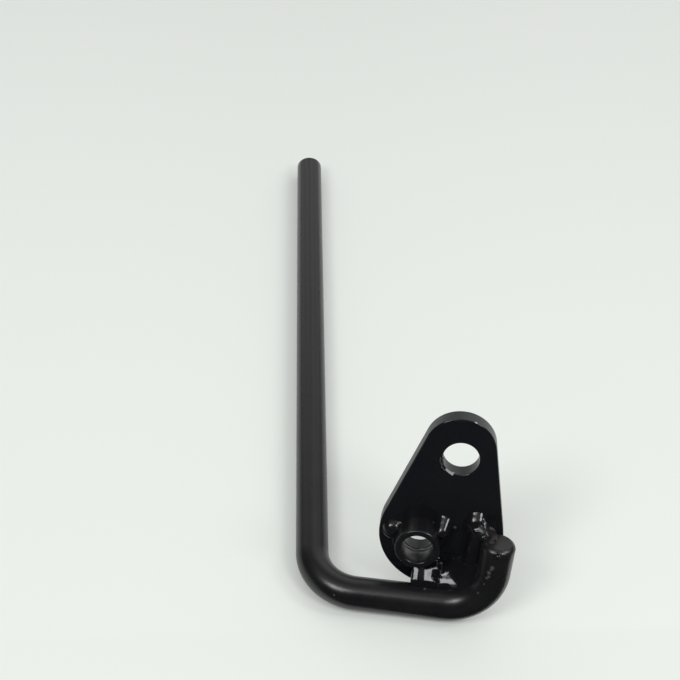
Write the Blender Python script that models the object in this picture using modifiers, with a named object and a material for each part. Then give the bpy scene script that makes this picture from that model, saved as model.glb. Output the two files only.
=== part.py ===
"""Windscreen bracket: a round rod bent twice, welded to a teardrop plate that carries a short bush.

The long leg runs to +Y and the middle leg to +X, both flat on the table. The upright leg stands up along
the front face of the plate, which leans back over the long leg. Sizes are in metres. The pieces are made
with the first bend's corner over the origin, and then moved so that the origin is below their middle.
Plate coordinates are (across, up, out): across runs along the middle leg from the bend's corner, up runs
up the plate's face from the rod's centre line, and out stands out of its front face.
"""

import bmesh
import bpy
from math import acos, atan2, ceil, cos, exp, pi, radians, sin, tan
from mathutils import Matrix, Vector

# Rod: leg lengths run between the corners of its centre line
ROD_DIAMETER = 0.010
LONG_LEG = 0.2147
MIDDLE_LEG = 0.0518
UPRIGHT_LEG = 0.0240
FIRST_BEND_RADIUS = 0.0151
SECOND_BEND_RADIUS = 0.0140
FIRST_BEND_OPENING = radians(98.5)
UPRIGHT_SPLAY = radians(2.9)
ROD_END_CHAMFER = 0.0009
ROD_SIDES = 40
BEND_STEPS = 22

# Plate: the hull of a large lower circle and a small upper one
PLATE_LEAN = radians(17.2)
PLATE_THICKNESS = 0.0050
PLATE_LOWER_RADIUS = 0.0182
PLATE_LOWER_ACROSS = 0.0364
PLATE_LOWER_UP = 0.0201
PLATE_UPPER_RADIUS = 0.0103
PLATE_UPPER_ACROSS = 0.0393
PLATE_UPPER_UP = 0.0496
PLATE_EDGE_ROUNDING = 0.0003
BOLT_HOLE_DIAMETER = 0.0105
BOLT_HOLE_ACROSS = 0.0398
BOLT_HOLE_UP = 0.0469
DEGREES_PER_OUTLINE_STEP = 5

# Bush, and the plate's hole behind it
BUSH_DIAMETER = 0.0131
BUSH_BORE = 0.0094
BUSH_HEIGHT = 0.0070
BUSH_CHAMFER = 0.0004
BUSH_ACROSS = 0.0299
BUSH_UP = 0.0193
BUSH_BACK_HOLE = 0.0093
BUSH_SIDES = 60

# Nick in the bolt hole's front rim, where a tool has slipped
NICK_ANGLE = radians(236)
NICK_WIDTH = 0.0032
NICK_DEPTH = 0.0006

# Weld metal: bead radii before the beads are cut back to the faces that they join
RING_BEAD = 0.0018
RING_SWELLING = 0.0016
RING_SWELLING_ANGLE = radians(168)
RING_SWELLING_SPREAD = radians(30)
RING_SINK = 0.4
RING_SINK_ANGLE = radians(90)
RING_SINK_SPREAD = radians(42)
RIDGE_BEAD = 0.0042
MIDDLE_BEAD = 0.0042
UPRIGHT_BEAD = 0.0033
UPRIGHT_BEAD_OVERRUN = 0.0028
LAP_BEAD = 0.0024
LOBE_BEAD = 0.0017
RIPPLE_PITCH = 0.0030
RIPPLE_DEPTH = 0.03
BEAD_SIDES = 14

# Black paint: how pale it is, and how rough
ROD_GREY = 0.030
ROD_ROUGHNESS = 0.35
PLATE_GREY = 0.012
PLATE_ROUGHNESS = 0.25
BUSH_GREY = 0.020
BUSH_ROUGHNESS = 0.35
WELD_GREY = 0.020
WELD_ROUGHNESS = 0.20

# Clearance between pieces that touch
JOINT_GAP = 0.0003

ROD_RADIUS = ROD_DIAMETER / 2
BUSH_RADIUS = BUSH_DIAMETER / 2

# Directions: along the middle leg, up the plate, out of its front face, and up the splayed upright leg
FALL = FIRST_BEND_OPENING - pi / 2
ACROSS = Vector((cos(FALL), -sin(FALL), 0))
LEVEL_BACK = Vector((sin(FALL), cos(FALL), 0))
UP = Vector((0, 0, 1)) * cos(PLATE_LEAN) + LEVEL_BACK * sin(PLATE_LEAN)
OUT = ACROSS.cross(UP)
UPRIGHT = ACROSS * sin(UPRIGHT_SPLAY) + UP * cos(UPRIGHT_SPLAY)

FIRST_CORNER = Vector((0, 0, ROD_RADIUS))
ROD_OUT = ROD_RADIUS + JOINT_GAP
PLATE_ORIGIN = FIRST_CORNER - OUT * ROD_OUT


def plate_frame(across=0.0, up=0.0, out=0.0):
    """Matrix whose X, Y and Z are the plate's across, up and out, at a point in plate coordinates."""
    place = PLATE_ORIGIN + ACROSS * across + UP * up + OUT * out
    return Matrix.Translation(place) @ Matrix((ACROSS, UP, OUT)).transposed().to_4x4()


def clear_scene():
    for thing in list(bpy.data.objects):
        bpy.data.objects.remove(thing, do_unlink=True)


def collection(name):
    made = bpy.data.collections.new(name)
    bpy.context.scene.collection.children.link(made)
    return made


def black_paint(name, grey, roughness):
    made = bpy.data.materials.new(name)
    made.use_nodes = True
    shader = made.node_tree.nodes["Principled BSDF"]
    shader.inputs["Base Color"].default_value = (grey, grey, grey * 1.05, 1)
    shader.inputs["Roughness"].default_value = roughness
    shader.inputs["Metallic"].default_value = 0.0
    return made


def add_object(name, data, home, matrix=None):
    made = bpy.data.objects.new(name, data)
    home.objects.link(made)
    if matrix is not None:
        made.matrix_world = matrix
    return made


def make_cutter(thing):
    thing.hide_render = True
    thing.display_type = "WIRE"
    return thing


def block_cutter(name, size, matrix, home):
    mesh = bpy.data.meshes.new(name)
    shape = bmesh.new()
    bmesh.ops.create_cube(shape, size=1, matrix=Matrix.Diagonal((*size, 1)))
    shape.to_mesh(mesh)
    shape.free()
    return make_cutter(add_object(name, mesh, home, matrix))


def round_cutter(name, radius, height, matrix, home):
    mesh = bpy.data.meshes.new(name)
    shape = bmesh.new()
    bmesh.ops.create_cone(
        shape, cap_ends=True, segments=BUSH_SIDES, radius1=radius, radius2=radius, depth=height
    )
    shape.to_mesh(mesh)
    shape.free()
    return make_cutter(add_object(name, mesh, home, matrix))


def curve_to_mesh(thing, home):
    """Swap a curve object for a closed mesh object of the same name and place."""
    bpy.context.view_layer.update()
    evaluated = thing.evaluated_get(bpy.context.evaluated_depsgraph_get())
    mesh = bpy.data.meshes.new_from_object(evaluated)
    name, matrix = thing.name, thing.matrix_world.copy()
    bpy.data.objects.remove(thing, do_unlink=True)
    shape = bmesh.new()
    shape.from_mesh(mesh)
    bmesh.ops.remove_doubles(shape, verts=shape.verts, dist=1e-6)
    bmesh.ops.recalc_face_normals(shape, faces=shape.faces)
    shape.to_mesh(mesh)
    shape.free()
    return add_object(name, mesh, home, matrix)


def smooth_shading(thing, angle=35):
    thing.data.shade_smooth()
    thing.data.set_sharp_from_angle(angle=radians(angle))


def bevel_edges(thing, width, segments=2, angle=60):
    bevel = thing.modifiers.new("Rounded edges", "BEVEL")
    bevel.width = width
    bevel.segments = segments
    bevel.limit_method = "ANGLE"
    bevel.angle_limit = radians(angle)


def boolean(thing, other, operation):
    step = thing.modifiers.new(operation.title(), "BOOLEAN")
    step.operation = operation
    step.object = other
    step.solver = "MANIFOLD"


def arc_at_corner(before, corner, after, radius, steps):
    """Points of the arc that rounds a corner of a centre line."""
    back, ahead = (before - corner).normalized(), (after - corner).normalized()
    half = back.angle(ahead) / 2
    middle = (back + ahead).normalized()
    centre = corner + middle * radius / sin(half)
    turn = pi - 2 * half
    side = (back - ahead).normalized()
    points = []
    for step in range(steps + 1):
        angle = turn * (step / steps - 0.5)
        points.append(centre - middle * radius * cos(angle) - side * radius * sin(angle))
    return points


def rod_points(overrun):
    """Centre line of the rod, run on past the top of the upright leg."""
    far_end = FIRST_CORNER + Vector((0, LONG_LEG, 0))
    second_corner = FIRST_CORNER + ACROSS * MIDDLE_LEG
    top_end = second_corner + UPRIGHT * (UPRIGHT_LEG + overrun)
    first = arc_at_corner(far_end, FIRST_CORNER, second_corner, FIRST_BEND_RADIUS, BEND_STEPS)
    second = arc_at_corner(FIRST_CORNER, second_corner, top_end, SECOND_BEND_RADIUS, BEND_STEPS)
    return [far_end, *first, *second, top_end]


def tube(name, points, radii, sides, home, closed=False):
    """Closed tube along a list of points, with its own radius at each."""
    curve = bpy.data.curves.new(name, "CURVE")
    curve.dimensions = "3D"
    curve.bevel_depth = 1.0
    curve.bevel_resolution = (sides - 4) // 2
    curve.use_fill_caps = True
    spline = curve.splines.new("POLY")
    spline.points.add(len(points) - 1)
    for point, place, radius in zip(spline.points, points, radii):
        point.co = (*place, 1)
        point.radius = radius
    spline.use_cyclic_u = closed
    return curve_to_mesh(add_object(name, curve, home), home)


def make_rod(name, radius, home, overrun=0.0):
    points = rod_points(overrun)
    return tube(name, points, [radius] * len(points), ROD_SIDES, home)


def arc_points(centre, radius, start, end):
    steps = max(2, ceil(abs(end - start) / radians(DEGREES_PER_OUTLINE_STEP)))
    angles = [start + (end - start) * step / steps for step in range(steps + 1)]
    return [centre + Vector((cos(angle), sin(angle))) * radius for angle in angles]


def closed_spline(curve, points):
    spline = curve.splines.new("POLY")
    spline.points.add(len(points) - 1)
    for point, place in zip(spline.points, points):
        point.co = (place.x, place.y, 0, 1)
    spline.use_cyclic_u = True


def plate_outline():
    """Two arcs of the circles' hull, joined by their common tangents."""
    lower = Vector((PLATE_LOWER_ACROSS, PLATE_LOWER_UP))
    upper = Vector((PLATE_UPPER_ACROSS, PLATE_UPPER_UP))
    line = upper - lower
    heading = atan2(line.y, line.x)
    spread = acos((PLATE_LOWER_RADIUS - PLATE_UPPER_RADIUS) / line.length)
    top = arc_points(upper, PLATE_UPPER_RADIUS, heading - spread, heading + spread)
    bottom = arc_points(lower, PLATE_LOWER_RADIUS, heading + spread, heading - spread + 2 * pi)
    return top + bottom


def full_circle(across, up, diameter):
    return arc_points(Vector((across, up)), diameter / 2, 0, 2 * pi)[:-1]


def make_plate(home, cutters, material):
    curve = bpy.data.curves.new("mounting_plate", "CURVE")
    curve.dimensions = "2D"
    curve.fill_mode = "BOTH"
    curve.extrude = PLATE_THICKNESS / 2
    closed_spline(curve, plate_outline())
    closed_spline(curve, full_circle(BOLT_HOLE_ACROSS, BOLT_HOLE_UP, BOLT_HOLE_DIAMETER))
    closed_spline(curve, full_circle(BUSH_ACROSS, BUSH_UP, BUSH_BACK_HOLE))
    plate = add_object("mounting_plate", curve, home, plate_frame(out=-PLATE_THICKNESS / 2))
    plate = curve_to_mesh(plate, home)
    bevel_edges(plate, PLATE_EDGE_ROUNDING)
    boolean(plate, nick_cutter(cutters), "DIFFERENCE")
    plate.data.materials.append(material)
    smooth_shading(plate)
    return plate


def nick_cutter(home):
    """Small block turned to bite a flat out of the bolt hole's front rim."""
    at_rim = (
        plate_frame(BOLT_HOLE_ACROSS, BOLT_HOLE_UP)
        @ Matrix.Rotation(NICK_ANGLE, 4, "Z")
        @ Matrix.Translation((BOLT_HOLE_DIAMETER / 2, 0, 0))
        @ Matrix.Rotation(radians(-45), 4, "Y")
    )
    return block_cutter("nick_cutter", (NICK_DEPTH * 2, NICK_WIDTH, NICK_DEPTH * 6), at_rim, home)


def make_bush(home, material):
    outer, inner = BUSH_RADIUS, BUSH_BORE / 2
    profile = [
        (outer - BUSH_CHAMFER, BUSH_HEIGHT),
        (outer, BUSH_HEIGHT - BUSH_CHAMFER),
        (outer, 0),
        (inner, 0),
        (inner, BUSH_HEIGHT - BUSH_CHAMFER),
        (inner + BUSH_CHAMFER, BUSH_HEIGHT),
    ]
    mesh = bpy.data.meshes.new("boss")
    edges = [(index, (index + 1) % len(profile)) for index in range(len(profile))]
    mesh.from_pydata([(radius, 0, height) for radius, height in profile], edges, [])
    bush = add_object("boss", mesh, home, plate_frame(BUSH_ACROSS, BUSH_UP, JOINT_GAP))
    screw = bush.modifiers.new("Turned", "SCREW")
    screw.steps = BUSH_SIDES
    screw.render_steps = BUSH_SIDES
    screw.use_merge_vertices = True
    screw.merge_threshold = 0.00001
    bush.data.materials.append(material)
    return bush


def blend(before, start, end, after, share):
    """Catmull-Rom point between start and end."""
    square, cube = share * share, share * share * share
    return (
        start * 2
        + (end - before) * share
        + (before * 2 - start * 5 + end * 4 - after) * square
        + (start * 3 - before - end * 3 + after) * cube
    ) * 0.5


def rippled(length_so_far):
    return 1 + RIPPLE_DEPTH * cos(2 * pi * length_so_far / RIPPLE_PITCH)


def weld_run(name, guide, home):
    """Bead along guide stations, each a point in plate coordinates and a bead radius."""
    stations = [Vector((*place, radius)) for place, radius in guide]
    stations = [stations[0] * 2 - stations[1], *stations, stations[-1] * 2 - stations[-2]]
    to_world = plate_frame()
    points, radii, travelled = [], [], 0
    for index in range(1, len(stations) - 2):
        span = (stations[index + 1].xyz - stations[index].xyz).length
        steps = max(2, ceil(span / (RIPPLE_PITCH / 4)))
        for step in range(steps):
            here = blend(*stations[index - 1:index + 3], step / steps)
            points.append(to_world @ here.xyz)
            radii.append(here.w * rippled(travelled + span * step / steps))
        travelled += span
    points.append(to_world @ stations[-2].xyz)
    radii.append(stations[-2].w * 0.8)
    return tube(name, points, radii, BEAD_SIDES, home)


def bump(angle, middle, spread):
    """One at the middle angle, falling off smoothly to nothing round the ring."""
    away = (angle - middle + pi) % (2 * pi) - pi
    return exp(-((away / spread) ** 2))


def ring_weld(home):
    """Bead round the foot of the bush: swollen where the welder started, and sunk along its top."""
    reach = BUSH_RADIUS + RING_BEAD * 0.25
    count = round(2 * pi * reach / (RIPPLE_PITCH / 4))
    to_world = plate_frame(BUSH_ACROSS, BUSH_UP)
    points, radii = [], []
    for index in range(count):
        angle = 2 * pi * index / count
        swelling = RING_SWELLING * bump(angle, RING_SWELLING_ANGLE, RING_SWELLING_SPREAD)
        sink = RING_SINK * bump(angle, RING_SINK_ANGLE, RING_SINK_SPREAD)
        grown = reach + swelling * 0.5
        points.append(to_world @ Vector((grown * cos(angle), grown * sin(angle), RING_BEAD * (0.25 - sink))))
        radii.append((RING_BEAD * (1 - sink) + swelling) * rippled(reach * angle))
    return tube("ring_weld", points, radii, BEAD_SIDES, home, closed=True)


def beside_bush(across, up, out, radius):
    """Weld station set off from the bush's centre, in bush radii, with its bead radius in ridge beads."""
    place = (BUSH_ACROSS + across * BUSH_RADIUS, BUSH_UP + up * BUSH_RADIUS, out * BUSH_RADIUS)
    return place, radius * RIDGE_BEAD


def ridge_weld(home):
    """Stop of the ring bead at its upper right: a ridge that leans from the plate onto the bush's wall."""
    guide = [
        beside_bush(1.16, 1.12, -0.61, 1.05),
        beside_bush(1.13, 0.84, -0.38, 1.0),
        beside_bush(1.07, 0.66, -0.06, 0.78),
        beside_bush(1.01, 0.46, 0.29, 0.55),
        beside_bush(0.99, 0.32, 0.46, 0.32),
    ]
    return weld_run("ridge_weld", guide, home)


def middle_leg_weld(home):
    """Run in the groove between the plate's face and the top of the middle leg."""
    up = ROD_RADIUS + MIDDLE_BEAD * 0.3
    out = MIDDLE_BEAD * 0.15
    start = BUSH_ACROSS + BUSH_RADIUS * 0.35
    end = MIDDLE_LEG - ROD_RADIUS - UPRIGHT_BEAD * 0.4
    span = end - start
    guide = [
        ((start, up, out), MIDDLE_BEAD * 0.85),
        ((start + span * 0.35, up + span * 0.03, out), MIDDLE_BEAD * 1.05),
        ((start + span * 0.65, up - span * 0.03, out), MIDDLE_BEAD * 0.95),
        ((end, up + span * 0.03, out), MIDDLE_BEAD),
    ]
    return weld_run("middle_leg_weld", guide, home)


def beside_upright_leg(up, sideways, out, radius):
    """Weld station at a height up the plate, set off sideways from the upright leg's centre line."""
    across = MIDDLE_LEG + up * tan(UPRIGHT_SPLAY) + sideways
    return (across, up, out * UPRIGHT_BEAD), radius * UPRIGHT_BEAD


def upright_leg_weld(home):
    """Run up the left side of the upright leg, ending in a broad pool a little past the leg's top."""
    left = -(ROD_RADIUS + UPRIGHT_BEAD * 0.2)
    top = UPRIGHT_LEG + UPRIGHT_BEAD_OVERRUN
    guide = [
        beside_upright_leg(UPRIGHT_LEG * 0.2, left, 0.35, 0.9),
        beside_upright_leg(UPRIGHT_LEG * 0.42, left, 0.25, 1.0),
        beside_upright_leg(UPRIGHT_LEG * 0.66, left, 0.25, 0.97),
        beside_upright_leg(UPRIGHT_LEG * 0.95, left, 0.1, 1.1),
        beside_upright_leg(top, left, -0.6, 1.15),
        beside_upright_leg(top + UPRIGHT_BEAD * 0.4, left, -1.0, 1.1),
    ]
    return weld_run("upright_leg_weld", guide, home)


def hooked_end_weld(home):
    """End of the upright leg's run, turned over behind the leg's top."""
    left = -(ROD_RADIUS + UPRIGHT_BEAD * 0.2)
    guide = [
        beside_upright_leg(UPRIGHT_LEG, left + UPRIGHT_BEAD * 0.3, 0.0, 1.0),
        beside_upright_leg(UPRIGHT_LEG, left + UPRIGHT_BEAD * 1.0, -0.1, 1.05),
        beside_upright_leg(UPRIGHT_LEG, left + UPRIGHT_BEAD * 1.7, -0.3, 0.8),
    ]
    return weld_run("hooked_end_weld", guide, home)


def lap_weld(home):
    """Metal from the same run that laps over the back and left of the upright leg's end."""
    guide = []
    for share, left in ((0.0, 0.4), (0.35, 0.8), (0.75, 1.3), (1.1, 1.7)):
        across = MIDDLE_LEG + UPRIGHT_LEG * tan(UPRIGHT_SPLAY) - left * LAP_BEAD
        place = (across, UPRIGHT_LEG - LAP_BEAD * 0.4, share * ROD_OUT)
        guide.append((place, LAP_BEAD * (1 - 0.15 * share)))
    return weld_run("lap_weld", guide, home)


def lobe(name, across, foot_across, home, thickness):
    """Drip of weld metal from the bush's foot down onto the middle leg."""
    bottom = BUSH_UP - BUSH_RADIUS
    guide = [
        ((across, bottom, LOBE_BEAD * 0.9), thickness * 0.7),
        ((across, (bottom + ROD_RADIUS) / 2 + LOBE_BEAD * 0.4, LOBE_BEAD * 1.4), thickness),
        ((foot_across, ROD_RADIUS, ROD_RADIUS * 0.8), thickness * 0.85),
    ]
    return weld_run(name, guide, home)


def make_welds(home, cutters, material):
    welds = ring_weld(home)
    welds.name = "weld_beads"
    left = BUSH_ACROSS + BUSH_RADIUS * 0.1
    right = left + LOBE_BEAD * 2.6
    joined = [
        ridge_weld(cutters),
        middle_leg_weld(cutters),
        upright_leg_weld(cutters),
        hooked_end_weld(cutters),
        lap_weld(cutters),
        lobe("first_lobe", left, left + LOBE_BEAD * 0.2, cutters, LOBE_BEAD),
        lobe("second_lobe", right, right + LOBE_BEAD * 0.8, cutters, LOBE_BEAD * 1.5),
    ]
    for run in joined:
        boolean(welds, make_cutter(run), "UNION")
    for keep_out in (rod_clearance(cutters), plate_clearance(cutters), bush_clearance(cutters)):
        boolean(welds, keep_out, "DIFFERENCE")
    welds.data.materials.append(material)
    smooth_shading(welds, 50)
    return welds


def rod_clearance(home):
    return make_cutter(make_rod("rod_clearance", ROD_RADIUS + JOINT_GAP, home, JOINT_GAP))


def plate_clearance(home):
    """Block filling everything behind a plane one gap in front of the plate's face."""
    depth = PLATE_THICKNESS * 4
    width = PLATE_LOWER_ACROSS + PLATE_LOWER_RADIUS * 3
    centre = plate_frame(PLATE_LOWER_ACROSS, PLATE_LOWER_UP, JOINT_GAP - depth / 2)
    return block_cutter("plate_clearance", (width, width, depth), centre, home)


def bush_clearance(home):
    centre = plate_frame(BUSH_ACROSS, BUSH_UP)
    return round_cutter("bush_clearance", BUSH_RADIUS + JOINT_GAP, BUSH_HEIGHT * 3, centre, home)


def centre_on_table(home, others):
    """Hang everything on an empty, and move it until the pieces' box stands centred on the origin."""
    bpy.context.view_layer.update()
    graph = bpy.context.evaluated_depsgraph_get()
    places = []
    for piece in home.objects:
        mesh = piece.evaluated_get(graph).to_mesh()
        places += [piece.matrix_world @ vertex.co for vertex in mesh.vertices]
    low = Vector(min(place[axis] for place in places) for axis in range(3))
    high = Vector(max(place[axis] for place in places) for axis in range(3))
    carrier = bpy.data.objects.new("bracket_carrier", None)
    for thing in [*home.objects, *others.objects]:
        thing.parent = carrier
    home.objects.link(carrier)
    carrier.location = (-(low.x + high.x) / 2, -(low.y + high.y) / 2, -low.z)


clear_scene()
parts = collection("windscreen_bracket")
tools = collection("cutters")

rod = make_rod("bent_rod", ROD_RADIUS, parts)
bevel_edges(rod, ROD_END_CHAMFER)
rod.data.materials.append(black_paint("rod black paint", ROD_GREY, ROD_ROUGHNESS))
smooth_shading(rod)

make_plate(parts, tools, black_paint("plate black paint", PLATE_GREY, PLATE_ROUGHNESS))
make_bush(parts, black_paint("bush black paint", BUSH_GREY, BUSH_ROUGHNESS))
make_welds(parts, tools, black_paint("weld black paint", WELD_GREY, WELD_ROUGHNESS))
centre_on_table(parts, tools)
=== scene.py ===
"""Looks for the windscreen bracket: a black painted steel weldment lying on a pale table."""

import bmesh
import bpy
from math import acos, atan2, ceil, cos, exp, pi, radians, sin, tan
from mathutils import Matrix, Vector, noise


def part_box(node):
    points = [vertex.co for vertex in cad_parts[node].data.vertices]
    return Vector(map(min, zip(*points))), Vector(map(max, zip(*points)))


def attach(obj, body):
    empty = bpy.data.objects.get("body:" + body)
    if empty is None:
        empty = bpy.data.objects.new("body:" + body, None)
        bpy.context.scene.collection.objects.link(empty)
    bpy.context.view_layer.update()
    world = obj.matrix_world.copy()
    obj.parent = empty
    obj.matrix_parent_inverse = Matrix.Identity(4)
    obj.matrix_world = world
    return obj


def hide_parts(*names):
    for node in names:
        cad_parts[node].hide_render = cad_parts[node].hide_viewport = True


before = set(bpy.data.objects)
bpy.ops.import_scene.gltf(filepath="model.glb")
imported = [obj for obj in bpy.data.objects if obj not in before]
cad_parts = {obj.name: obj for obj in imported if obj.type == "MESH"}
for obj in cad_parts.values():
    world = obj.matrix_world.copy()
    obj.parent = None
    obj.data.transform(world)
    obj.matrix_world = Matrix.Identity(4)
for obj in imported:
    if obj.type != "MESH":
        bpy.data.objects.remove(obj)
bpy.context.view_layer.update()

MM = 0.001

# The bent rod
#
# Round mild steel bar, bent cold twice and cut off with a small chamfer at each end. Its long and middle
# legs lie on the table, and the short upright leg follows the plate. It is painted black with the rest.

ROD_RADIUS = 5 * MM
LONG_LEG = 214.7 * MM
MIDDLE_LEG = 51.8 * MM
UPRIGHT_LEG = 24 * MM
FIRST_BEND_RADIUS = 15.1 * MM
SECOND_BEND_RADIUS = 14 * MM
ROD_END_ROUNDING = 1.0 * MM
ROD_SIDES = 96

FALL = radians(8.5)
LEAN = radians(17.2)
SPLAY = radians(2.9)
ACROSS = Vector((cos(FALL), -sin(FALL), 0))
LEVEL_BACK = Vector((sin(FALL), cos(FALL), 0))
UP = Vector((0, 0, 1)) * cos(LEAN) + LEVEL_BACK * sin(LEAN)
OUT = ACROSS.cross(UP)
UPRIGHT = ACROSS * sin(SPLAY) + UP * cos(SPLAY)

rod_low, rod_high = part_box("bent_rod")
FIRST_CORNER = Vector((rod_low.x + ROD_RADIUS, rod_high.y - LONG_LEG, ROD_RADIUS))
SECOND_CORNER = FIRST_CORNER + ACROSS * MIDDLE_LEG
FAR_END = FIRST_CORNER + Vector((0, LONG_LEG, 0))
TOP_END = SECOND_CORNER + UPRIGHT * UPRIGHT_LEG
PLATE_GAP = 0.3 * MM
PLATE_ORIGIN = FIRST_CORNER - OUT * (ROD_RADIUS + PLATE_GAP)


def plate_point(across, up, out=0.0):
    """Place measured from the plate's front face: along the middle leg, up the plate and out of it."""
    return PLATE_ORIGIN + ACROSS * across + UP * up + OUT * out


def linear(code):
    """RGBA socket value of an sRGB hex colour."""
    shares = [int(code[place:place + 2], 16) / 255 for place in (1, 3, 5)]
    return (*(s / 12.92 if s <= 0.04045 else ((s + 0.055) / 1.055) ** 2.4 for s in shares), 1)


def add_node(tree, kind, fills=(), **settings):
    """Node with its settings, and with what fills its sockets: the output of another node, or a value.

    A setting named like a socket goes to that socket, any other to the node itself.
    """
    made = tree.nodes.new(kind)
    for name, value in settings.items():
        if hasattr(made, name):
            setattr(made, name, value)
        else:
            made.inputs[name.replace("_", " ")].default_value = value
    for source, socket in fills:
        if isinstance(source, bpy.types.NodeSocket):
            tree.links.new(source, made.inputs[socket])
        else:
            made.inputs[socket].default_value = source
    return made


def maths(tree, operation, *values):
    fills = [(value, index) for index, value in enumerate(values)]
    return add_node(tree, "ShaderNodeMath", fills, operation=operation).outputs["Value"]


def vector_maths(tree, operation, first, second):
    fills = [(first, 0), (second, 1)]
    return add_node(tree, "ShaderNodeVectorMath", fills, operation=operation).outputs["Value"]


def ramp(tree, value, start, end, low=0.0, high=1.0, **settings):
    """Output that runs from low to high while the value runs from start to end."""
    return add_node(
        tree, "ShaderNodeMapRange", [(value, "Value")],
        From_Min=start, From_Max=end, To_Min=low, To_Max=high, **settings,
    ).outputs["Result"]


def mix(tree, factor, first, second):
    """Output that runs from a first to a second colour or number while the factor runs from 0 to 1."""
    kind, ends, output = ("FLOAT", (2, 3), 0) if isinstance(second, float) else ("RGBA", (6, 7), 2)
    fills = [(factor, "Factor"), (first, ends[0]), (second, ends[1])]
    return add_node(tree, "ShaderNodeMix", fills, data_type=kind).outputs[output]


def distance_from(tree, place):
    """Distance of the painted point from a place, in metres."""
    return vector_maths(tree, "DISTANCE", add_node(tree, "ShaderNodeTexCoord").outputs["Object"], place)


def black_paint(name, colour, film, roughness, peel_depth, ior=1.5):
    """Black paint over steel, with dust dulling it in places and orange peel where it has run and dried."""
    made = bpy.data.materials.new(name)
    made.use_nodes = True
    tree = made.node_tree
    shader = tree.nodes["Principled BSDF"]
    place = add_node(tree, "ShaderNodeTexCoord").outputs["Object"]
    # dusty film, in patches about 14 mm across
    patches = add_node(tree, "ShaderNodeTexNoise", [(place, "Vector")], Scale=1 / (14 * MM), Detail=4.0)
    film_share = ramp(tree, patches.outputs["Fac"], 0.35, 0.75)
    base = mix(tree, film_share, linear(colour), linear(film))
    # grains of dust, about 0.15 mm across, one to every few square millimetres
    grains = add_node(tree, "ShaderNodeTexVoronoi", [(place, "Vector")], Scale=1 / (2.6 * MM))
    grain_share = ramp(tree, grains.outputs["Distance"], 0.045, 0.02, high=0.35)
    tree.links.new(mix(tree, grain_share, base, linear("#6E6A64")), shader.inputs["Base Color"])
    dulled = ramp(tree, patches.outputs["Fac"], 0.3, 0.7, roughness - 0.03, roughness + 0.03)
    tree.links.new(dulled, shader.inputs["Roughness"])
    # orange peel about 1.1 mm across, and a finer grain in it
    peel = add_node(tree, "ShaderNodeTexNoise", [(place, "Vector")], Scale=1 / (1.1 * MM), Detail=3.0)
    relief = add_node(tree, "ShaderNodeBump", [(peel.outputs["Fac"], "Height")], Distance=peel_depth)
    tree.links.new(relief.outputs["Normal"], shader.inputs["Normal"])
    shader.inputs["IOR"].default_value = ior
    return made


def repaint(paint, factor, **ends):
    """Takes inputs of a paint's shader to other colours or numbers while the factor runs from 0 to 1."""
    tree = paint.node_tree
    for name, end in ends.items():
        socket = tree.nodes["Principled BSDF"].inputs[name.replace("_", " ")]
        tree.links.new(mix(tree, factor, socket.links[0].from_socket, end), socket)


def add_object(name, data):
    made = bpy.data.objects.new(name, data)
    bpy.context.scene.collection.objects.link(made)
    return made


def add_piece(name, mesh, material):
    """Piece of the bracket, which rides on its one body and takes the record's material slot."""
    made = add_object(name, mesh)
    mesh.materials.append(material)
    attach(made, "root")
    return made


def smooth_mesh(name, shape):
    """Mesh of a bmesh, shaded smooth but for its corners."""
    bmesh.ops.recalc_face_normals(shape, faces=shape.faces)
    mesh = bpy.data.meshes.new(name)
    shape.to_mesh(mesh)
    shape.free()
    mesh.shade_smooth()
    mesh.set_sharp_from_angle(angle=radians(40))
    return mesh


def arc_at_corner(before, corner, after, radius, steps):
    """Points of the arc that rounds a corner of a centre line."""
    back, ahead = (before - corner).normalized(), (after - corner).normalized()
    half = back.angle(ahead) / 2
    middle = (back + ahead).normalized()
    side = (back - ahead).normalized()
    centre = corner + middle * radius / sin(half)
    turn = pi - 2 * half
    angles = [turn * (step / steps - 0.5) for step in range(steps + 1)]
    return [centre - middle * radius * cos(a) - side * radius * sin(a) for a in angles]


def along(start, end, spacing):
    """Points between two places, without the two."""
    count = ceil((end - start).length / spacing)
    return [start.lerp(end, step / count) for step in range(1, count)]


def sweep(path, radii, sides):
    """Closed tube along a path, as a bmesh, with a radius at each point and no twist."""
    shape = bmesh.new()
    rings = []
    ahead = (path[1] - path[0]).normalized()
    side = ahead.orthogonal().normalized()
    for index, place in enumerate(path):
        before, after = path[max(index - 1, 0)], path[min(index + 1, len(path) - 1)]
        turned = (after - before).normalized()
        side = (ahead.rotation_difference(turned) @ side).normalized()
        ahead = turned
        other = ahead.cross(side)
        ring = []
        for step in range(sides):
            angle = 2 * pi * step / sides
            ring.append(shape.verts.new(place + (side * cos(angle) + other * sin(angle)) * radii[index]))
        rings.append(ring)
    for ring, following in zip(rings, rings[1:]):
        for step in range(sides):
            turn = (step + 1) % sides
            shape.faces.new((ring[step], ring[turn], following[turn], following[step]))
    shape.faces.new(rings[0])
    shape.faces.new(reversed(rings[-1]))
    return shape


def rounded_end(end, inward, rounding, radius):
    """Path points and radii from the flat end face of a bar to the full bar."""
    places, radii = [], []
    for step in range(9):
        angle = pi / 2 * step / 8
        places.append(end + inward * rounding * (1 - cos(angle) ** 1.4))
        radii.append(radius - rounding * (1 - sin(angle) ** 1.4))
    return places, radii


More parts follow.
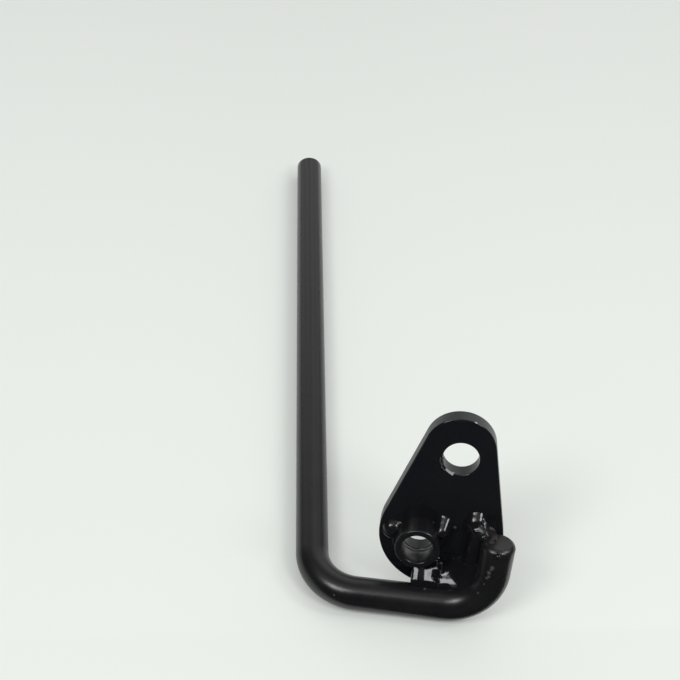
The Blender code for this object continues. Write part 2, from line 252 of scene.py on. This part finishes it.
first_bend = arc_at_corner(FAR_END, FIRST_CORNER, SECOND_CORNER, FIRST_BEND_RADIUS, 48)
second_bend = arc_at_corner(FIRST_CORNER, SECOND_CORNER, TOP_END, SECOND_BEND_RADIUS, 48)
far_places, far_radii = rounded_end(FAR_END, Vector((0, -1, 0)), ROD_END_ROUNDING, ROD_RADIUS)
top_places, top_radii = rounded_end(TOP_END, -UPRIGHT, ROD_END_ROUNDING * 1.3, ROD_RADIUS)
rod_path = far_places + along(far_places[-1], first_bend[0], 3 * MM) + first_bend
rod_path += along(first_bend[-1], second_bend[0], 2 * MM) + second_bend
rod_path += along(second_bend[-1], top_places[-1], 2 * MM) + top_places[::-1]
middle_count = len(rod_path) - len(far_radii) - len(top_radii)
rod_radii = far_radii + [ROD_RADIUS] * middle_count + top_radii[::-1]
rod_paint = black_paint(
    "satin black paint on bar", "#19191B", "#212122", roughness=0.28, peel_depth=0.004 * MM
)
# brownish flux on the upright leg's end, and pale spots on the legs, painted highlights for the glints on
# tiny specks of spatter: place, size in mm and colour
marks = [(TOP_END - (ACROSS * 1.6 + OUT * 1.7) * MM, 3.4, "#3E3130")]
for across, up, out, size in (
    (51.7, 18.3, 10.1, 0.8), (51.4, 17.5, 10.1, 0.5), (50.9, 16.3, 10.05, 0.8), (51.0, 15.0, 10.0, 0.6),
    (50.4, 14.3, 10.0, 0.6), (50.0, 12.0, 9.7, 0.35), (48.6, 8.5, 9.6, 0.35), (33.3, 5.0, 6.0, 0.5),
    (6.9, 1.5, 9.2, 0.35),
):
    # painted highlight: a pale spot for the glint on a speck of spatter
    marks.append((plate_point(across * MM, up * MM, out * MM), size, "#77776F"))
rod_tree = rod_paint.node_tree
for place, size, tone in marks:
    marked = ramp(rod_tree, distance_from(rod_tree, place), size * MM, size * 0.3 * MM, high=0.5)
    repaint(rod_paint, marked, Base_Color=linear(tone), Roughness=0.55)
rod = add_piece("rod", smooth_mesh("rod", sweep(rod_path, rod_radii, ROD_SIDES)), rod_paint)
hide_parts("bent_rod")

# The mounting plate
#
# Teardrop of 5 mm steel plate, cut out and drilled, and welded to the legs so that it leans back over
# the long leg. The paint lies glossy and almost mirror flat on it, with its cut edge faintly banded.

PLATE_THICKNESS = 5 * MM
PLATE_LOWER = (Vector((36.4, 20.1)) * MM, 18.2 * MM)
PLATE_UPPER = (Vector((39.3, 49.6)) * MM, 10.3 * MM)
BOLT_HOLE = (Vector((39.8, 46.9)) * MM, 5.25 * MM)
BUSH_PLACE = Vector((29.9, 19.3)) * MM
BUSH_BACK_HOLE = 4.65 * MM
PLATE_EDGE_ROUNDING = 0.35 * MM


def plate_matrix(across=0.0, up=0.0, out=0.0):
    """Stands a shape on a place of the plate's front face, turned with the plate."""
    turn = Matrix((ACROSS, UP, OUT)).transposed().to_4x4()
    return Matrix.Translation(plate_point(across, up, out)) @ turn


def arc_points(centre, radius, start, end):
    """Points of an arc, one to every three degrees."""
    steps = ceil(abs(end - start) / radians(3))
    angles = [start + (end - start) * count / steps for count in range(steps + 1)]
    return [centre + Vector((cos(angle), sin(angle))) * radius for angle in angles]


def plate_outline():
    """The hull of the plate's two circles."""
    (lower, big), (upper, small) = PLATE_LOWER, PLATE_UPPER
    line = upper - lower
    heading = atan2(line.y, line.x)
    spread = acos((big - small) / line.length)
    top = arc_points(upper, small, heading - spread, heading + spread)
    return top + arc_points(lower, big, heading + spread, heading - spread + 2 * pi)


def evaluated(thing):
    """Mesh of an object with its modifiers applied."""
    bpy.context.view_layer.update()
    return bpy.data.meshes.new_from_object(thing.evaluated_get(bpy.context.evaluated_depsgraph_get()))


def add_shape(whole, shape):
    """Adds one closed bmesh to another."""
    bmesh.ops.recalc_face_normals(shape, faces=shape.faces)
    one = bpy.data.meshes.new("one")
    shape.to_mesh(one)
    shape.free()
    whole.from_mesh(one)
    bpy.data.meshes.remove(one)


def cut_away(mesh, **shapes):
    """The mesh with closed bmeshes taken out of it."""
    body = add_object("body", mesh)
    cutters = []
    for name, shape in shapes.items():
        cutters.append(add_object(name, smooth_mesh(name, shape)))
        step = body.modifiers.new(name, "BOOLEAN")
        step.operation = "DIFFERENCE"
        step.solver = "MANIFOLD"
        step.object = cutters[-1]
    made = evaluated(body)
    for thing in (body, *cutters):
        bpy.data.objects.remove(thing)
    return made


plate_curve = bpy.data.curves.new("plate", "CURVE")
plate_curve.dimensions = "2D"
plate_curve.fill_mode = "BOTH"
plate_curve.extrude = PLATE_THICKNESS / 2
bolt_rim = arc_points(*BOLT_HOLE, 0, 2 * pi)[:-1]
back_rim = arc_points(BUSH_PLACE, BUSH_BACK_HOLE, 0, 2 * pi)[:-1]
for points in (plate_outline(), bolt_rim, back_rim):
    spline = plate_curve.splines.new("POLY")
    spline.points.add(len(points) - 1)
    for target, point in zip(spline.points, points):
        target.co = (*point, 0, 1)
    spline.use_cyclic_u = True
plate_curve_object = add_object("plate outline", plate_curve)
plate_mesh = bpy.data.meshes.new_from_object(plate_curve_object)
bpy.data.objects.remove(plate_curve_object)
plate_shape = bmesh.new()
plate_shape.from_mesh(plate_mesh)
bmesh.ops.remove_doubles(plate_shape, verts=plate_shape.verts, dist=0.001 * MM)
plate_shape.transform(plate_matrix(out=-PLATE_THICKNESS / 2))
plate_shape.normal_update()
rims = [edge for edge in plate_shape.edges if edge.is_manifold and edge.calc_face_angle() > radians(60)]
bmesh.ops.bevel(
    plate_shape, geom=rims, offset=PLATE_EDGE_ROUNDING, segments=4, profile=0.5, affect="EDGES"
)
plate_paint = black_paint(
    "gloss black paint on plate", "#17181C", "#1B1C1F", roughness=0.12, peel_depth=0.003 * MM
)
# the cut edge and the hole's wall are duller and paler, with faint bands left by the cut
plate_tree = plate_paint.node_tree
facing = add_node(plate_tree, "ShaderNodeNewGeometry").outputs["True Normal"]
flatness = maths(plate_tree, "ABSOLUTE", vector_maths(plate_tree, "DOT_PRODUCT", facing, OUT))
through = vector_maths(
    plate_tree, "DOT_PRODUCT", add_node(plate_tree, "ShaderNodeTexCoord").outputs["Object"], OUT
)
band_place = add_node(plate_tree, "ShaderNodeCombineXYZ", [(through, "X")]).outputs["Vector"]
bands = add_node(
    plate_tree, "ShaderNodeTexNoise", [(band_place, "Vector")], Scale=1 / (0.7 * MM), Detail=1.0
).outputs["Fac"]
edge_tone = mix(plate_tree, bands, linear("#2C2D2E"), linear("#424445"))
repaint(plate_paint, ramp(plate_tree, flatness, 0.5, 0.2), Base_Color=edge_tone, Roughness=0.35)
# bare steel on the slanted cut where a drill has slipped and nicked the bolt hole's front rim
NICK_ANGLE, NICK_TILT = radians(238), radians(42)
nick_at = BOLT_HOLE[0] + Vector((cos(NICK_ANGLE), sin(NICK_ANGLE))) * BOLT_HOLE[1]
near_nick = maths(plate_tree, "LESS_THAN", distance_from(plate_tree, plate_point(*nick_at)), 1.7 * MM)
slanted = maths(plate_tree, "COMPARE", flatness, cos(NICK_TILT), 0.03)
nicked = maths(plate_tree, "MULTIPLY", near_nick, slanted)
# painted highlight: a small pale spot on the top of the front rim, where its rounded edge catches a lamp
rim_glint_at = plate_point(43.0 * MM, 59.7 * MM)
painted_rim_glint = maths(plate_tree, "LESS_THAN", distance_from(plate_tree, rim_glint_at), 0.7 * MM)
# bare steel, in part, also on the burrs, which alone stand proud of the plate's front
proud = maths(plate_tree, "GREATER_THAN", through, PLATE_ORIGIN.dot(OUT) + 0.1 * MM)
worn = maths(plate_tree, "MULTIPLY", proud, 0.1)
bare_steel_and_rim_glint = maths(plate_tree, "MAXIMUM", maths(plate_tree, "MAXIMUM", nicked, painted_rim_glint), worn)
# bare steel on the nick and the burrs, and the painted highlight on the rim
repaint(plate_paint, bare_steel_and_rim_glint, Base_Color=linear("#A9ABAC"))

# the nick itself, and the burrs that the drill threw up
nick_shape = bmesh.new()
bmesh.ops.create_cube(nick_shape, size=1)
nick_shape.transform(Matrix.Diagonal((3 * MM, 2.9 * MM, 1.2 * MM, 1)))
nick_shape.transform(Matrix.Translation((0, 0, 0.28 * MM)))
nick_shape.transform(Matrix.Rotation(radians(52), 4, "Z") @ Matrix.Rotation(NICK_TILT, 4, "Y"))
nick_shape.transform(plate_matrix(*nick_at))
nicked_plate = bmesh.new()
nicked_plate.from_mesh(cut_away(smooth_mesh("whole plate", plate_shape), nick=nick_shape))
# each burr: its angle round the hole, its reach beyond the hole's centre and its length, in mm
for angle, reach, length in (
    (-179, 5.1, 0.35), (-172, 5.2, 0.45), (-164, 5.15, 0.4), (-176, 5.8, 0.5), (-167, 5.9, 0.6),
    (-157, 5.8, 0.7), (-147, 6.0, 0.6), (-138, 5.9, 0.5),
):
    burr = bmesh.new()
    bmesh.ops.create_icosphere(burr, subdivisions=3, radius=MM)
    burr.transform(Matrix.Diagonal((0.26, length, 0.42, 1)))
    burr.transform(Matrix.Translation((reach * MM, 0, 0)))
    burr.transform(plate_matrix(*BOLT_HOLE[0]) @ Matrix.Rotation(radians(angle), 4, "Z"))
    add_shape(nicked_plate, burr)
plate_body = add_object("plate body", smooth_mesh("plate body", nicked_plate))
level = plate_body.modifiers.new("Level faces", "WEIGHTED_NORMAL")
level.weight = 100
level.keep_sharp = True
plate_final = evaluated(plate_body)
bpy.data.objects.remove(plate_body)
plate = add_piece("plate", plate_final, plate_paint)
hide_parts("mounting_plate")

# The bush
#
# Short turned steel bush, welded over a hole in the plate. Its bore runs on through the plate, with a
# seam where they meet and a fine turned ring that the paint has not filled.

BUSH_RADIUS = 6.55 * MM
BUSH_BORE = 4.7 * MM
BUSH_HEIGHT = 7.0 * MM
BUSH_SIDES = 128


def turned(profile, sides, matrix):
    """Closed ring turned from a profile of radii and heights."""
    shape = bmesh.new()
    rings = []
    for step in range(sides):
        angle = 2 * pi * step / sides
        places = [matrix @ Vector((r * cos(angle), r * sin(angle), h)) for r, h in profile]
        rings.append([shape.verts.new(place) for place in places])
    for step in range(sides):
        ring, following = rings[step], rings[(step + 1) % sides]
        for index in range(len(profile)):
            turn = (index + 1) % len(profile)
            shape.faces.new((ring[index], ring[turn], following[turn], following[index]))
    return shape


def rounded_corner(radius, height, rounding, inner):
    """Profile points round a turned edge, from the side to the face, or from the face to the bore."""
    points = []
    for step in range(6):
        angle = pi / 2 * step / 5
        if inner:
            points.append((radius + rounding * (1 - sin(angle)), height - rounding * (1 - cos(angle))))
        else:
            points.append((radius - rounding * (1 - cos(angle)), height - rounding * (1 - sin(angle))))
    return points


bush_profile = [(BUSH_RADIUS, 0.0)]
bush_profile += rounded_corner(BUSH_RADIUS, BUSH_HEIGHT, 0.6 * MM, False)
bush_profile += rounded_corner(BUSH_BORE, BUSH_HEIGHT, 0.4 * MM, True)
bush_profile += [(BUSH_BORE, 1.6 * MM), (BUSH_BORE + 0.03 * MM, 1.52 * MM), (BUSH_BORE, 1.44 * MM)]
bush_profile += [(BUSH_BORE, 0.05 * MM), (BUSH_BORE + 0.04 * MM, 0.0)]
bush_paint = black_paint(
    "satin black paint on bush", "#17171A", "#1E1E20", roughness=0.27, peel_depth=0.004 * MM
)
bush_shape = turned(bush_profile, BUSH_SIDES, plate_matrix(BUSH_PLACE.x, BUSH_PLACE.y))
bush = add_piece("bush", smooth_mesh("bush", bush_shape), bush_paint)
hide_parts("boss")

# The weld beads
#
# Arc welds round the foot of the bush, along the middle leg and up the left side of the upright leg,
# laid in overlapping pools. The paint has pooled on them, so they are the glossiest part.


def tube_through(guide, sides=20, spacing=0.5 * MM):
    """Tube through guide stations of (across, up, out, radius) in mm, each pool blending into the next."""
    stations = [Vector(station) * MM for station in guide]
    stations = [stations[0] * 2 - stations[1], *stations, stations[-1] * 2 - stations[-2]]
    path, radii = [], []
    for index in range(1, len(stations) - 2):
        before, start, end, after = stations[index - 1:index + 3]
        steps = max(2, ceil((end.xyz - start.xyz).length / spacing))
        for step in range(steps + (index == len(stations) - 3)):
            t = step / steps
            here = (
                start * 2 + (end - before) * t + (before * 2 - start * 5 + end * 4 - after) * t * t
                + (start * 3 - before - end * 3 + after) * t * t * t
            ) * 0.5
            path.append(plate_point(*here.xyz))
            radii.append(max(here.w, 0.1 * MM))
    return sweep(path, radii, sides)


def pool(across, up, out, wide, tall, thick, turn=0.0):
    """One flattened pool of weld metal, in mm, turned in the plate's plane."""
    shape = bmesh.new()
    bmesh.ops.create_icosphere(shape, subdivisions=4, radius=1.0)
    shape.transform(Matrix.Diagonal((wide * MM, tall * MM, thick * MM, 1)))
    shape.transform(Matrix.Rotation(radians(turn), 4, "Z"))
    shape.transform(plate_matrix(across * MM, up * MM, out * MM))
    return shape


def flat_pool(top, facing, lengthways, long, wide, deep):
    """Flatter pool of weld metal, in mm: the top of its face, where that faces, and which way it runs."""
    face = Vector(facing).normalized()
    side = face.cross(Vector(lengthways)).normalized()
    turned_to = Matrix((side.cross(face), side, face)).transposed().to_4x4()
    shape = bmesh.new()
    bmesh.ops.create_icosphere(shape, subdivisions=4, radius=1.0)
    shape.transform(Matrix.Diagonal((long * MM, wide * MM, deep * MM, 1)))
    shape.transform(Matrix.Translation((Vector(top) - face * deep) * MM) @ turned_to)
    shape.transform(plate_matrix())
    return shape


def round_bush(angle, reach, out):
    """Guide place at an angle round the bush and a reach beyond its wall, in mm."""
    away = BUSH_RADIUS / MM + reach
    across = BUSH_PLACE.x / MM + away * cos(radians(angle))
    up = BUSH_PLACE.y / MM + away * sin(radians(angle))
    return across, up, out


def fillet(stations):
    """Closed skin of weld metal between the plate and the middle leg, in mm.

    Each station is across, the up of its toe on the plate, and the heights of its face above the straight
    line from the plate to the top of the leg, at equal steps along that line.
    """
    shape = bmesh.new()
    # ends of that line, as up and out, and the direction square to it
    high, low = Vector((11.8, 1.0)), Vector((5.9, 5.6))
    square = Vector((0.614, 0.789))
    rings = []
    for across, toe, *heights in stations:
        outline = [Vector((toe, -0.3)), Vector((toe, 0.0))]
        for index, height in enumerate(heights):
            outline.append(high.lerp(low, index / (len(heights) - 1)) + square * height)
        outline += [Vector((4.9, 5.5)), Vector((2.5, 5.5)), Vector((2.5, -0.5))]
        rings.append([shape.verts.new(plate_point(across * MM, up * MM, out * MM)) for up, out in outline])
    for ring, following in zip(rings, rings[1:]):
        for index in range(len(ring)):
            turn = (index + 1) % len(ring)
            shape.faces.new((ring[index], ring[turn], following[turn], following[index]))
    shape.faces.new(rings[0])
    shape.faces.new(reversed(rings[-1]))
    bmesh.ops.triangulate(shape, faces=shape.faces)
    return shape


weld_shapes = []
# low bead round the foot of the bush, which sinks away at its top
ring_guide = []
for step in range(61):
    angle = step * 6
    sunk = exp(-((angle - 98) / 55) ** 4)
    thickness = 1.5 - 0.7 * sunk + 0.03 * cos(radians(angle * 7))
    ring_guide.append((*round_bush(angle, 0.1, -1.7 * sunk), thickness))
weld_shapes.append(tube_through(ring_guide))
# its start on the left, and its stop at the upper right, which leans on the wall of the bush
weld_shapes.append(pool(22.2, 20.7, -1.0, 3.4, 3.6, 3.4))
weld_shapes.append(tube_through([
    (37.5, 26.6, -4.0, 4.2), (37.3, 24.8, -2.5, 4.0), (36.9, 23.6, -0.4, 3.1), (36.5, 22.3, 1.9, 2.2),
    (36.4, 21.4, 3.0, 1.3),
], sides=32))
weld_shapes.append(pool(40.3, 23.5, 0.2, 0.8, 0.8, 0.8))
# run up the left side of the upright leg, faintly rippled
leg_guide = []
for step in range(38):
    up = 6.0 + step * 0.5
    sunk = 0.1 * max(up - 22.5, 0) ** 2
    leg_guide.append((46.1 + up * tan(SPLAY), up, 0.8 - sunk, 3.25 + 0.02 * cos(2 * pi * up / 3.6)))
weld_shapes.append(tube_through(leg_guide, sides=32))
# end of that run, above and below its crater, and the metal that laps over the end of the leg
weld_shapes.append(tube_through([
    (46.4, 27.9, -3.6, 4.0), (46.3, 26.6, -2.5, 4.0), (46.3, 24.9, -1.1, 4.0), (46.4, 23.8, -1.0, 3.5),
    (46.5, 22.6, -0.5, 3.3),
], sides=32))
weld_shapes.append(flat_pool((48.6, 27.15, 2.0), (0.26, 0.61, 0.75), (1.47, -2.03, 1.14), 1.8, 1.2, 0.6))
weld_shapes.append(flat_pool((47.3, 25.45, 3.5), (-0.20, 0.57, 0.79), (2.35, -1.27, 1.51), 3.0, 1.9, 0.65))
weld_shapes.append(pool(47.6, 23.6, -0.2, 3.2, 2.8, 3.1, turn=-25))
weld_shapes.append(pool(50.0, 23.2, -1.6, 3.0, 2.8, 2.4))
weld_shapes.append(pool(50.2, 23.5, 3.0, 2.5, 1.3, 4.2))
# fillet between the plate and the top of the middle leg, from the lobe below the bush to the bend
weld_shapes.append(fillet([
    (28.8, 12.0, -1.4, -1.4, -1.4, -1.3, -1.2, -1.1, -1.2),
    (29.2, 12.6, -0.45, -0.35, -0.35, -0.35, -0.35, -0.35, -0.5),
    (30.9, 12.8, -0.1, 0.1, 0.1, 0.1, 0.1, 0.1, -0.1),
    (31.8, 12.6, -0.2, 0.0, 0.0, 0.0, 0.0, 0.0, -0.2),
    (32.5, 12.4, -1.0, -0.4, -0.15, -0.15, -0.15, -0.15, -0.4),
    (33.5, 12.4, -1.0, -0.05, 0.1, 0.1, 0.1, 0.1, -0.2),
    (34.9, 12.6, -0.4, 0.4, 0.4, 0.4, 0.4, 0.4, 0.0),
    (36.0, 12.6, -0.4, 0.67, 0.67, 0.5, -0.1, 0.67, 0.1),
    (36.8, 12.4, -1.0, 0.0, 0.85, -0.1, -0.6, 0.2, -0.2),
    (37.4, 12.2, -1.2, -1.1, -0.8, -0.5, -0.6, -0.5, -0.6),
    (38.1, 12.2, -1.1, -0.9, -0.6, -0.3, -0.35, -0.3, -0.5),
    (39.0, 12.4, -0.7, -0.5, -0.2, -0.1, -0.15, -0.12, -0.4),
    (39.9, 12.8, -0.25, -0.05, 0.2, 0.1, 0.05, 0.07, -0.2),
    (41.3, 13.4, 0.45, 0.65, 0.85, 0.55, 0.42, 0.4, 0.3),
    (42.7, 14.2, 1.2, 1.35, 1.6, 1.3, 0.95, 0.77, 0.65),
    (44.8, 15.2, 2.4, 2.55, 2.8, 2.4, 2.05, 1.9, 1.75),
    (46.4, 16.0, 3.3, 3.5, 3.7, 3.3, 2.95, 2.8, 2.65),
    (48.0, 16.0, 4.2, 4.4, 4.6, 4.2, 3.85, 3.7, 3.5),
]))

whole = bmesh.new()
for shape in weld_shapes:
    add_shape(whole, shape)
weld_mesh = bpy.data.meshes.new("weld")
whole.to_mesh(weld_mesh)
whole.free()
melt = add_object("melt", weld_mesh)
one_skin = melt.modifiers.new("One skin", "REMESH")
one_skin.mode = "VOXEL"
one_skin.voxel_size = 0.2 * MM
relax = melt.modifiers.new("Molten", "SMOOTH")
relax.factor = 0.5
relax.iterations = 7
melted = evaluated(melt)
bpy.data.objects.remove(melt)
# uneven flow, and a dent in the crater
dent_at = plate_point(47.3 * MM, 26.9 * MM, 1.5 * MM)
normals = [vertex.normal.copy() for vertex in melted.vertices]
for vertex, normal in zip(melted.vertices, normals):
    place = vertex.co
    away = (place - dent_at).length / (0.7 * MM)
    flow = 0.05 * noise.noise(place / (2.6 * MM)) - 0.3 * exp(-away * away * 2)
    vertex.co = place + normal * flow * MM

# cut back to just inside the faces that the metal is fused to
WELD_OVERLAP = 0.04 * MM
behind_plate = bmesh.new()
bmesh.ops.create_cube(behind_plate, size=100 * MM)
behind_plate.transform(plate_matrix(30 * MM, 20 * MM, -50.03 * MM))
inside_bush = bmesh.new()
bmesh.ops.create_cone(
    inside_bush, cap_ends=True, segments=BUSH_SIDES, radius1=BUSH_RADIUS - WELD_OVERLAP,
    radius2=BUSH_RADIUS - WELD_OVERLAP, depth=30 * MM,
)
inside_bush.transform(plate_matrix(BUSH_PLACE.x, BUSH_PLACE.y))
inside_rod = sweep(rod_path, [max(radius - WELD_OVERLAP, 0) for radius in rod_radii], ROD_SIDES)
weld_final = cut_away(melted, behind_plate=behind_plate, inside_bush=inside_bush, inside_rod=inside_rod)
weld_final.materials.clear()
# drip below the upright leg's end, and a grain of spatter on the plate: place, size and height in mm
spatter = bmesh.new()
spatter.from_mesh(weld_final)
for across, up, out, size, tall in (
    (52.8, 23.2, 10.1, 0.5, 1.5), (52.8, 22.4, 10.1, 0.95, 0.9), (37.7, 9.9, 1.6, 0.25, 1.0),
):
    add_shape(spatter, pool(across, up, out, size, size * tall, size))
spatter.to_mesh(weld_final)
spatter.free()
weld_final.shade_smooth()
weld_final.set_sharp_from_angle(angle=radians(50))
weld_paint = black_paint(
    "pooled gloss black paint on weld", "#17171A", "#1D1D1F", roughness=0.14, peel_depth=0.006 * MM, ior=1.45
)
# dull brownish flux left beside the crater, under a thin coat
weld_tree = weld_paint.node_tree
from_flux = distance_from(weld_tree, plate_point(52.2 * MM, 25.4 * MM, 1.8 * MM))
flux = ramp(weld_tree, from_flux, 3.4 * MM, 2.2 * MM)
repaint(weld_paint, flux, Base_Color=linear("#262120"), Roughness=0.5)
welds = add_piece("welds", weld_final, weld_paint)
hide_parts("weld_beads")

# The table and the light
#
# White laminate table top with a soft sheen, lit by round softboxes left and right of the camera and by two
# smaller lamps. The room glows faintly, and a black sheet in front, unseen by the camera and seen only in
# the paint, stands for the dark side of the room: a painted reflection.


def sheet(name, half_width, y=0.0, z=0.0):
    """Level square."""
    shape = bmesh.new()
    bmesh.ops.create_grid(shape, x_segments=1, y_segments=1, size=half_width)
    bmesh.ops.translate(shape, verts=shape.verts, vec=(0, y, z))
    mesh = bpy.data.meshes.new(name)
    shape.to_mesh(mesh)
    shape.free()
    return add_object(name, mesh)


floor = sheet("table", 2.0)
table_top = bpy.data.materials.new("white laminate")
table_top.use_nodes = True
table_tree = table_top.node_tree
table_shader = table_tree.nodes["Principled BSDF"]
table_shader.inputs["Roughness"].default_value = 0.3
# the camera sees the laminate a little paler than it lights the bracket
rays = add_node(table_tree, "ShaderNodeLightPath").outputs
laminate = mix(table_tree, rays["Is Camera Ray"], linear("#EDF1ED"), linear("#F2F6F1"))
table_tree.links.new(laminate, table_shader.inputs["Base Color"])
# the camera and the paint see part of the table as evenly pale, which keeps the shadow on it soft, and that
# glowing part is darkened close to the bracket by ambient occlusion, a painted shade
seen_or_mirrored = maths(table_tree, "MAXIMUM", rays["Is Camera Ray"], rays["Is Glossy Ray"])
even_share = maths(table_tree, "MULTIPLY", seen_or_mirrored, 0.3)
# painted shade: the pale glow fades near the bracket with ambient occlusion
nearby = add_node(table_tree, "ShaderNodeAmbientOcclusion", samples=8, Distance=110 * MM)
painted_shade_near_bracket = maths(table_tree, "POWER", nearby.outputs["AO"], 0.6)
pale = add_node(
    table_tree, "ShaderNodeEmission", [(maths(table_tree, "MULTIPLY", painted_shade_near_bracket, 1.3), "Strength")],
    Color=linear("#EBEFEA"),
)
table_mix = add_node(
    table_tree, "ShaderNodeMixShader",
    [(even_share, 0), (table_shader.outputs["BSDF"], 1), (pale.outputs["Emission"], 2)],
)
table_tree.links.new(table_mix.outputs["Shader"], table_tree.nodes["Material Output"].inputs["Surface"])
floor.data.materials.append(table_top)

# painted reflection: a black sheet, unseen by the camera and casting no shade, stands for the dark side of
# the room in the paint's reflections
dark_room_sheet = sheet("black_card", 0.4, y=-0.514, z=0.5 * MM)
dark_room_black = bpy.data.materials.new("black card")
dark_room_black.use_nodes = True
card_shader = dark_room_black.node_tree.nodes["Principled BSDF"]
card_shader.inputs["Base Color"].default_value = linear("#13151C")
card_shader.inputs["Roughness"].default_value = 0.9
dark_room_sheet.data.materials.append(dark_room_black)
dark_room_sheet.visible_camera = False
dark_room_sheet.visible_diffuse = False
dark_room_sheet.visible_shadow = False


def toward(azimuth, elevation):
    """Direction from the bracket, with azimuth counted from +X to +Y, both in degrees."""
    level = cos(radians(elevation))
    return Vector((level * cos(radians(azimuth)), level * sin(radians(azimuth)), sin(radians(elevation))))


def softbox(name, azimuth, elevation, radius, radiance):
    """Round lamp a metre from the welds, with its radius as the angle that it covers there."""
    lamp = bpy.data.lights.new(name, "AREA")
    lamp.shape = "DISK"
    lamp.size = 2 * tan(radians(radius))
    lamp.energy = radiance * pi * pi * (lamp.size / 2) ** 2
    made = add_object(name, lamp)
    away = toward(azimuth, elevation)
    made.location = plate_point(36 * MM, 15 * MM) + away
    made.rotation_euler = away.to_track_quat("Z", "Y").to_euler()


softbox("left softbox", 214, 51, 9.5, 10.8)
softbox("right softbox", 318, 50, 8.0, 12.0)
softbox("side lamp", 354, 45, 6.0, 11.5)
softbox("upper lamp", 235, 61, 7.0, 4.5)

world = bpy.data.worlds.new("room")
bpy.context.scene.world = world
world.use_nodes = True
tree = world.node_tree
tree.nodes.clear()
way = add_node(tree, "ShaderNodeTexCoord").outputs["Generated"]
# glows of the room: azimuth, elevation, the angles where each fades from full to nothing, and strength
GLOWS = [
    (90, 40, 4, 24, 0.60),
    (62, 26, 4, 26, 0.65),
    (118, 26, 4, 26, 0.65),
    (90, 12, 10, 50, 0.04),
    (46, 6, 5, 20, 0.30),
    (134, 6, 5, 20, 0.30),
    (15, 40, 8, 24, 0.90),
    (45, 62, 6, 22, 0.80),
    (180, 72, 5, 26, 0.46),
    (262, 72, 6, 20, 0.50),
    (315, 65, 8, 30, 0.27),
]
room = 0.0
for azimuth, elevation, full, faded, brightness in GLOWS:
    nearness = vector_maths(tree, "DOT_PRODUCT", way, toward(azimuth, elevation))
    glow = ramp(
        tree, nearness, cos(radians(faded)), cos(radians(full)), high=brightness,
        interpolation_type="SMOOTHSTEP",
    )
    room = maths(tree, "ADD", glow, room)
# the camera sees an even, pale wall
strength = mix(tree, add_node(tree, "ShaderNodeLightPath").outputs["Is Camera Ray"], room, 0.87)
backdrop = add_node(tree, "ShaderNodeBackground", [(strength, "Strength")], Color=(1.0, 1.0, 1.0, 1.0))
add_node(tree, "ShaderNodeOutputWorld", [(backdrop.outputs["Background"], "Surface")])

# The camera
#
# Held in the hand over the near side of the table, looking down at the bracket.

CAMERA_TURN = radians(2.092)
CAMERA_PITCH = radians(43.70)
CAMERA_ROLL = radians(1.133)

lens = bpy.data.cameras.new("camera")
lens.sensor_width = 36
lens.lens = 64.175
camera = add_object("camera", lens)
turn = Matrix.Rotation(-CAMERA_TURN, 4, "Z")
turn = turn @ Matrix.Rotation(pi / 2 - CAMERA_PITCH, 4, "X") @ Matrix.Rotation(CAMERA_ROLL, 4, "Z")
camera.matrix_world = Matrix.Translation(Vector((-27.668, -312.413, 308.994)) * MM) @ turn
bpy.context.scene.camera = camera
bpy.context.scene.view_settings.view_transform = "Standard"
